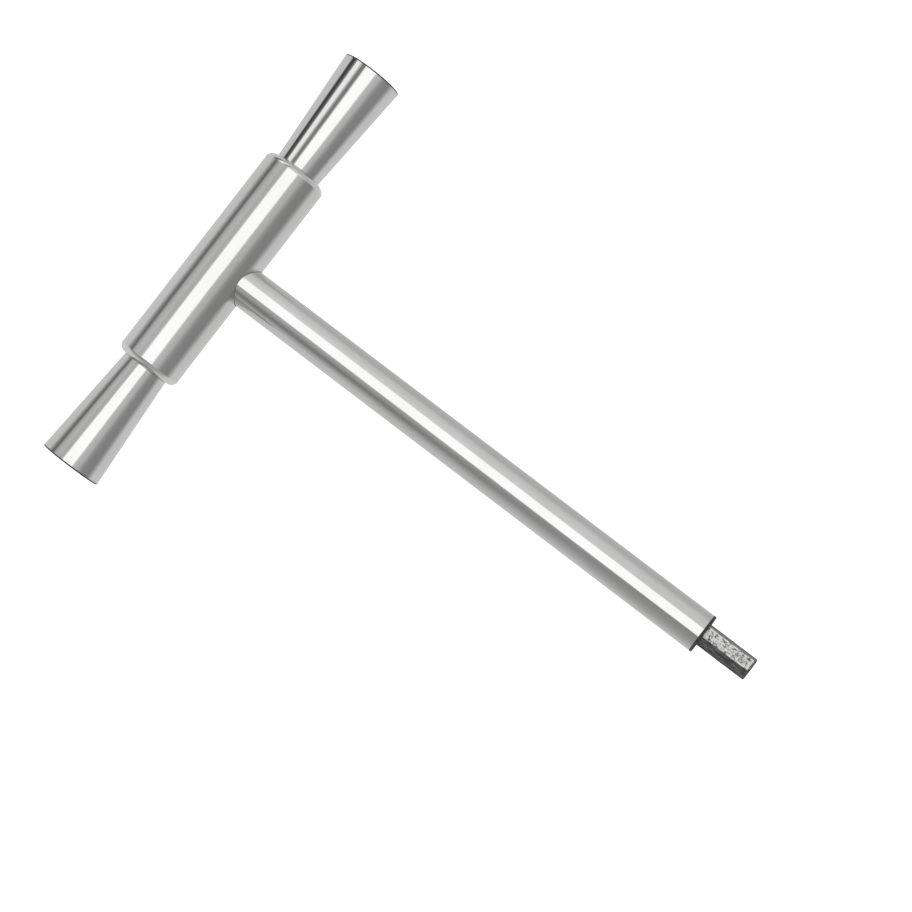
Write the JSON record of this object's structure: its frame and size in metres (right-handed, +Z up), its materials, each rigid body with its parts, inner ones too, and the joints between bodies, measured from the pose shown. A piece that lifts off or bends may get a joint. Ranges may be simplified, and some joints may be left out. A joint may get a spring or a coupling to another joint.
{
  "type": "tap wrench",
  "caption": "T-handled wrench: a round barrel with flared grips, a long round shaft and a short removable hexagonal bit in its end",
  "frame": {"origin": "centre of the flat end face of the hexagonal bit, on the shaft's axis", "axes": "+X along the shaft, out of the tip; the handle lies along Y; +Z up when the tool lies on a bench, which is at z = -9.75 mm"},
  "size_m": [0.1968, 0.1406, 0.0196],
  "materials": {
    "polished_steel": "mirror-polished stainless steel",
    "plain_steel": "plain turned steel with cut threads",
    "spring_steel": "oiled dark spring steel",
    "nickel_plate": "satin nickel plate over a sintered magnet",
    "dark_steel": "dark hardened steel, rough and mottled"
  },
  "bodies": {
    "tool": {"barrel": "polished_steel", "shaft": "polished_steel", "tie_rod": "plain_steel", "bit_retaining_ring": "spring_steel", "bit_magnet": "nickel_plate"},
    "bit": {"hex_bit": "dark_steel"},
    "washer_left": {"spring_washer_left": "spring_steel"},
    "grip_left": {"grip_left": "polished_steel"},
    "washer_right": {"spring_washer_right": "spring_steel"},
    "grip_right": {"grip_right": "polished_steel"}
  },
  "joints": [
    {"name": "bit_pull", "type": "slide", "parent": "tool", "child": "bit", "axis": [1, 0, 0], "range_m": [0, 0.014]},
    {"name": "grip_left_travel", "type": "slide", "parent": "tool", "child": "washer_left", "axis": [0, -1, 0], "range_m": [0, 0.015]},
    {"name": "grip_left_unscrew", "type": "hinge", "parent": "washer_left", "child": "grip_left", "pos_m": [-0.187, -0.053, 0], "axis": [0, -1, 0], "range_deg": [0, 4325]},
    {"name": "grip_right_travel", "type": "slide", "parent": "tool", "child": "washer_right", "axis": [0, 1, 0], "range_m": [0, 0.015]},
    {"name": "grip_right_unscrew", "type": "hinge", "parent": "washer_right", "child": "grip_right", "pos_m": [-0.187, 0.053, 0], "axis": [0, 1, 0], "range_deg": [0, 4325]}
  ],
  "couplings": [
    {"joint": "grip_left_unscrew", "follows": "grip_left_travel", "rad_per_m": 5026.5},
    {"joint": "grip_right_unscrew", "follows": "grip_right_travel", "rad_per_m": 5026.5}
  ]
}
